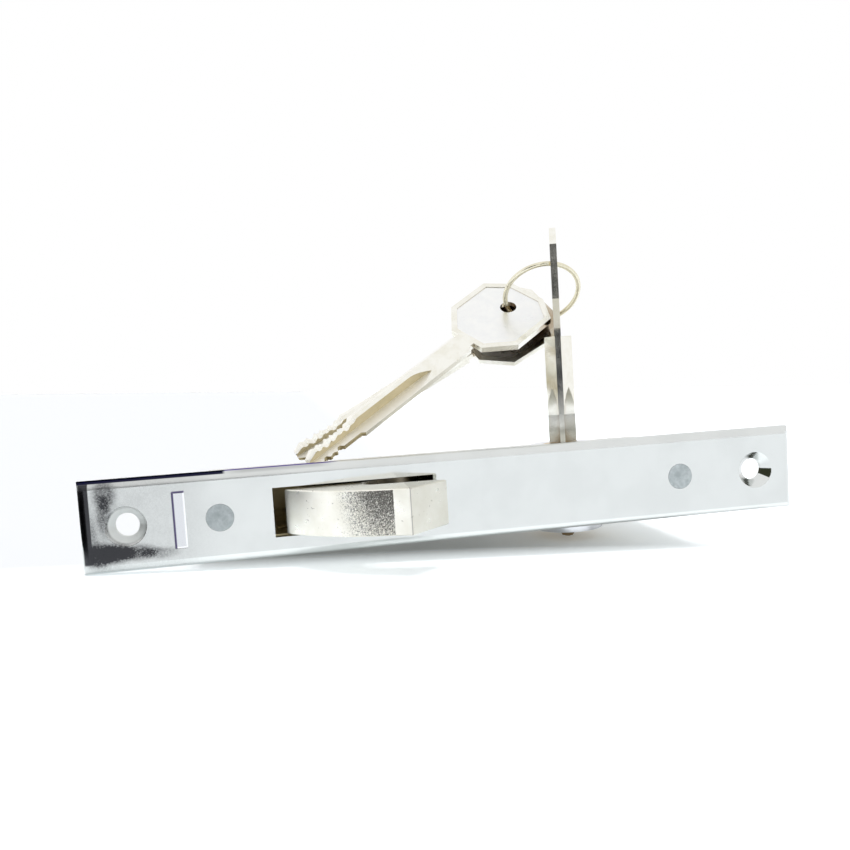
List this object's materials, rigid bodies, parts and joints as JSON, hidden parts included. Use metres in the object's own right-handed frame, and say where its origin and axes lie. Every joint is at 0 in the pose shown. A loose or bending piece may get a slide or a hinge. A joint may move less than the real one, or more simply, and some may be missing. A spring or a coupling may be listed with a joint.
{
  "type": "sliding door lock",
  "caption": "Mortise lock for a sliding door: long faceplate, claw hook bolt, slim case, cross-key cylinder with a key in it and spare keys on a ring.",
  "frame": {"origin": "centre of the faceplate's back face, midway between its two screw holes", "axes": "+X along the faceplate from the bolt's end to the key's end, -Y out of the faceplate's front, +Z along the key from its tip to its bow"},
  "size_m": [0.181, 0.0648, 0.0867],
  "materials": {
    "faceplate_chrome": "bright polished chrome plate",
    "nickel_casting": "warm nickel plate over a rough cast surface",
    "zinc_rivets": "dull grey zinc",
    "case_steel": "bright zinc-plated sheet steel",
    "screw_steel": "bright steel, slotted heads",
    "gear_steel": "machined steel with a film of grease",
    "cylinder_brass": "turned brass",
    "collar_chrome": "polished chrome plate",
    "key_nickel": "nickel-plated brass, milled grooves",
    "ring_nickel": "nickel-plated steel wire"
  },
  "bodies": {
    "case": {"faceplate": "faceplate_chrome", "faceplate_rivets": "zinc_rivets", "case_body": "case_steel", "case_cover": "case_steel", "cover_screws": "screw_steel", "case_pillars": "zinc_rivets", "hook_pivot_pin": "gear_steel", "pivot_washers": "zinc_rivets", "rack_guides": "case_steel", "rack_stops": "zinc_rivets", "rack_spring": "screw_steel", "cylinder_housing": "cylinder_brass", "housing_screws": "screw_steel", "housing_sleeve": "collar_chrome", "cylinder_collar": "collar_chrome", "driver_pins": "cylinder_brass", "pin_springs": "screw_steel"},
    "hook": {"hook_bolt": "nickel_casting", "hook_gear": "gear_steel"},
    "rack": {"drive_rack": "gear_steel"},
    "plug": {"plug": "cylinder_brass", "plug_pinion": "cylinder_brass", "pinion_pin": "gear_steel", "key_pins": "cylinder_brass"},
    "key": {"key_shank": "key_nickel", "key_bow": "key_nickel"},
    "ring": {"key_ring": "ring_nickel"},
    "loose_key_a": {"loose_key_a_shank": "key_nickel", "loose_key_a_bow": "key_nickel"},
    "loose_key_b": {"loose_key_b_shank": "key_nickel", "loose_key_b_bow": "key_nickel"}
  },
  "joints": [
    {"name": "key_turn", "type": "hinge", "parent": "case", "child": "plug", "pos_m": [0.0359, 0.022, 0], "axis": [0, 0, 1], "range_deg": [-90, 0]},
    {"name": "hook_swing", "type": "hinge", "parent": "case", "child": "hook", "pos_m": [-0.017, 0.009, 0], "axis": [0, 0, 1], "range_deg": [-105.01, 0]},
    {"name": "rack_slide", "type": "slide", "parent": "case", "child": "rack", "axis": [1, 0, 0], "range_m": [0, 0.0132]},
    {"name": "key_pull", "type": "slide", "parent": "plug", "child": "key", "axis": [0, 0, 1], "range_m": [0, 0.032]},
    {"name": "ring_swing", "type": "hinge", "parent": "key", "child": "ring", "pos_m": [0.03441, 0.02972, 0.0521], "axis": [0.0519, 0.6964, 0.7158], "range_deg": [0, 25]},
    {"name": "loose_key_a_swing", "type": "hinge", "parent": "ring", "child": "loose_key_a", "pos_m": [0.0253, 0.0342, 0.0484], "axis": [-0.1539, -0.6796, 0.7172], "range_deg": [-25, 0]},
    {"name": "loose_key_b_swing", "type": "hinge", "parent": "ring", "child": "loose_key_b", "pos_m": [0.02908, 0.03665, 0.04575], "axis": [-0.26, -0.7733, 0.5783], "range_deg": [-25, 0]}
  ],
  "couplings": [
    {"joint": "hook_swing", "follows": "key_turn", "ratio": 1.1667},
    {"joint": "rack_slide", "follows": "key_turn", "m_per_rad": -0.0084}
  ]
}
